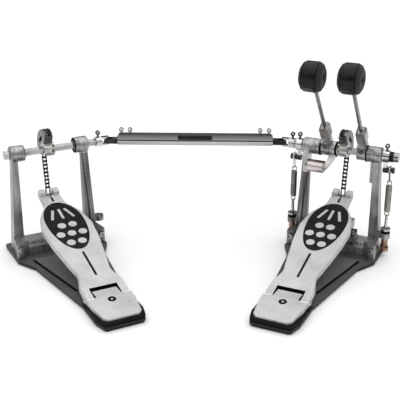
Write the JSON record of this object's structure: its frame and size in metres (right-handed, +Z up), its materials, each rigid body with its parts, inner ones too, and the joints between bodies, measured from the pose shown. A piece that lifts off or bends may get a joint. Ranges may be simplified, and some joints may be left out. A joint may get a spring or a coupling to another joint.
{
  "type": "double bass drum pedal",
  "caption": "Double bass drum pedal: main pedal with sprung beaters and hoop clamp, linked by a telescopic universal-joint drive shaft to a slave pedal with its own footboard and chain.",
  "frame": {"origin": "on the floor, under the middle of the main pedal's axle", "axes": "+X to the player's right along the drive shaft, +Y away from the player to the drum, +Z up"},
  "size_m": [0.6412, 0.3495, 0.3364],
  "materials": {
    "rubber": "moulded black rubber",
    "base_steel": "satin black coated steel plate",
    "cast_aluminium": "cast and tumbled aluminium",
    "satin_aluminium": "bright satin aluminium",
    "chrome": "polished chrome plate",
    "steel": "ground steel",
    "black_steel": "blackened steel",
    "spring_steel": "dark spring steel",
    "grip": "matte black rubber inlay",
    "beater_black": "black plastic core with black felt faces",
    "bronze": "sintered bronze bush"
  },
  "bodies": {
    "main_frame": {"main_floor_pad": "rubber", "main_base_plate": "base_steel", "main_heel_plate": "satin_aluminium", "main_hinge_pin": "steel", "main_left_post": "cast_aluminium", "main_right_post": "cast_aluminium", "main_bridge": "cast_aluminium", "main_bearings": "bronze", "mid_bearing_bracket": "cast_aluminium", "main_fasteners": "steel", "spring_adjusters": "chrome", "left_spring": "spring_steel", "right_spring": "spring_steel"},
    "hoop_clamp_jaw": {"hoop_clamp_jaw": "cast_aluminium"},
    "hoop_clamp_screw": {"hoop_clamp_screw": "chrome"},
    "right_axle": {"right_axle": "steel", "main_cam": "cast_aluminium", "main_cam_chain": "black_steel", "right_beater_hub": "cast_aluminium", "right_spring_rocker": "chrome", "right_axle_screws": "chrome"},
    "right_beater_rod": {"right_beater_rod": "chrome"},
    "right_beater_head": {"right_beater_head": "beater_black"},
    "main_footboard": {"main_footboard": "satin_aluminium", "main_grip_pad": "grip", "main_toe_pin": "steel"},
    "main_chain": {"main_chain": "black_steel"},
    "right_spring_link": {"right_spring_link": "chrome"},
    "left_axle": {"left_axle": "steel", "left_beater_hub": "cast_aluminium", "left_spring_rocker": "chrome", "left_axle_screws": "chrome", "main_coupling_yoke": "black_steel"},
    "left_beater_rod": {"left_beater_rod": "chrome"},
    "left_beater_head": {"left_beater_head": "beater_black"},
    "left_spring_link": {"left_spring_link": "chrome"},
    "main_joint_cross": {"main_joint_cross": "black_steel"},
    "drive_tube": {"drive_tube": "cast_aluminium", "main_drive_rod": "black_steel", "drive_tube_screws": "chrome"},
    "slave_frame": {"slave_floor_pad": "rubber", "slave_base_plate": "base_steel", "slave_heel_plate": "satin_aluminium", "slave_hinge_pin": "steel", "slave_left_post": "cast_aluminium", "slave_right_post": "cast_aluminium", "slave_bridge": "cast_aluminium", "slave_bearings": "bronze", "slave_fasteners": "steel"},
    "slave_drive_rod": {"slave_drive_rod": "black_steel"},
    "slave_axle": {"slave_axle": "steel", "slave_cam": "cast_aluminium", "slave_cam_chain": "black_steel", "slave_coupling_yoke": "black_steel", "slave_axle_screws": "chrome"},
    "slave_joint_cross": {"slave_joint_cross": "black_steel"},
    "slave_footboard": {"slave_footboard": "satin_aluminium", "slave_grip_pad": "grip", "slave_toe_pin": "steel"},
    "slave_chain": {"slave_chain": "black_steel"}
  },
  "joints": [
    {"name": "right_beater_swing", "type": "hinge", "parent": "main_frame", "child": "right_axle", "pos_m": [0, 0, 0.172], "axis": [-0.9121, 0.4099, 0], "range_deg": [0, 42], "stiffness_Nm_per_rad": 1.5, "springref_deg": -34.95},
    {"name": "left_beater_swing", "type": "hinge", "parent": "main_frame", "child": "left_axle", "pos_m": [0, 0, 0.172], "axis": [-0.9121, 0.4099, 0], "range_deg": [0, 42], "stiffness_Nm_per_rad": 1.5, "springref_deg": -34.95},
    {"name": "main_treadle", "type": "hinge", "parent": "main_frame", "child": "main_footboard", "pos_m": [-0.0951, -0.21161, 0.017], "axis": [-0.9121, 0.4099, 0], "range_deg": [-0.2, 5.03]},
    {"name": "main_chain_pull", "type": "hinge", "parent": "right_axle", "child": "main_chain", "pos_m": [0.0126, 0.02803, 0.16793], "axis": [-0.9121, 0.4099, 0], "range_deg": [-53.05, 0.2]},
    {"name": "right_spring_stretch", "type": "slide", "parent": "main_frame", "child": "right_spring_link", "axis": [-0.3827, -0.8515, 0.3584], "range_m": [-0.0003, 0.01607], "deforming": ["right_spring"]},
    {"name": "right_beater_height", "type": "slide", "parent": "right_axle", "child": "right_beater_rod", "axis": [-0.2484, -0.5527, 0.7955], "range_m": [-0.012, 0.02]},
    {"name": "right_beater_turn", "type": "hinge", "parent": "right_beater_rod", "child": "right_beater_head", "pos_m": [-0.00858, -0.0996, 0.3132], "axis": [-0.2484, -0.5527, 0.7955], "continuous": true},
    {"name": "left_spring_stretch", "type": "slide", "parent": "main_frame", "child": "left_spring_link", "axis": [-0.3827, -0.8515, 0.3584], "range_m": [-0.0003, 0.01607], "deforming": ["left_spring"]},
    {"name": "left_beater_height", "type": "slide", "parent": "left_axle", "child": "left_beater_rod", "axis": [-0.2484, -0.5527, 0.7955], "range_m": [-0.012, 0.02]},
    {"name": "left_beater_turn", "type": "hinge", "parent": "left_beater_rod", "child": "left_beater_head", "pos_m": [-0.06173, -0.07272, 0.30962], "axis": [-0.2484, -0.5527, 0.7955], "continuous": true},
    {"name": "main_cross_tilt", "type": "hinge", "parent": "left_axle", "child": "main_joint_cross", "pos_m": [-0.09121, 0.04099, 0.172], "axis": [0, 0, 1], "range_deg": [-6.23, 0.2]},
    {"name": "drive_shaft_turn", "type": "hinge", "parent": "main_frame", "child": "drive_tube", "pos_m": [-0.09121, 0.04099, 0.172], "axis": [-1, 0, 0], "range_deg": [-0.2, 39.9]},
    {"name": "slave_distance", "type": "slide", "parent": "main_frame", "child": "slave_frame", "axis": [-1, 0, 0], "range_m": [0, 0.06]},
    {"name": "slave_rod_turn", "type": "hinge", "parent": "slave_frame", "child": "slave_drive_rod", "pos_m": [-0.38645, 0.04099, 0.172], "axis": [-1, 0, 0], "range_deg": [-0.2, 39.9]},
    {"name": "slave_axle_turn", "type": "hinge", "parent": "slave_frame", "child": "slave_axle", "pos_m": [-0.474, -0.00734, 0.172], "axis": [-0.8755, -0.4833, 0], "range_deg": [-0.2, 43.67]},
    {"name": "slave_cross_tilt", "type": "hinge", "parent": "slave_axle", "child": "slave_joint_cross", "pos_m": [-0.38645, 0.04099, 0.172], "axis": [0, 0, 1], "range_deg": [-0.2, 7.47]},
    {"name": "slave_treadle", "type": "hinge", "parent": "slave_frame", "child": "slave_footboard", "pos_m": [-0.36188, -0.21044, 0.017], "axis": [-0.8755, -0.4833, 0], "range_deg": [-0.2, 5.12]},
    {"name": "slave_chain_pull", "type": "hinge", "parent": "slave_axle", "child": "slave_chain", "pos_m": [-0.48885, 0.01957, 0.16793], "axis": [-0.8755, -0.4833, 0], "range_deg": [-54.6, 0.2]},
    {"name": "clamp_screw_turn", "type": "hinge", "parent": "main_frame", "child": "hoop_clamp_screw", "pos_m": [0.02006, -0.03587, 0.044], "axis": [0, 0, 1], "range_deg": [0, 720]},
    {"name": "clamp_jaw_tilt", "type": "hinge", "parent": "main_frame", "child": "hoop_clamp_jaw", "pos_m": [0.00492, 0.01094, 0.033], "axis": [-0.9121, 0.4099, 0], "range_deg": [-0.2, 7]}
  ],
  "couplings": [
    {"joint": "main_treadle", "follows": "right_beater_swing", "ratio": 0.10796},
    {"joint": "main_chain_pull", "follows": "right_beater_swing", "ratio": -1.2511},
    {"joint": "right_spring_stretch", "follows": "right_beater_swing", "m_per_rad": 0.021511},
    {"joint": "left_spring_stretch", "follows": "left_beater_swing", "m_per_rad": 0.021511},
    {"joint": "main_cross_tilt", "follows": "left_beater_swing", "ratio": -0.13647},
    {"joint": "drive_shaft_turn", "follows": "left_beater_swing", "ratio": 0.93799},
    {"joint": "slave_rod_turn", "follows": "left_beater_swing", "ratio": 0.93799},
    {"joint": "slave_axle_turn", "follows": "left_beater_swing", "ratio": 1.0279},
    {"joint": "slave_cross_tilt", "follows": "left_beater_swing", "ratio": 0.16595},
    {"joint": "slave_treadle", "follows": "left_beater_swing", "ratio": 0.10995},
    {"joint": "slave_chain_pull", "follows": "left_beater_swing", "ratio": -1.2881},
    {"joint": "clamp_jaw_tilt", "follows": "clamp_screw_turn", "ratio": 0.0088889}
  ]
}
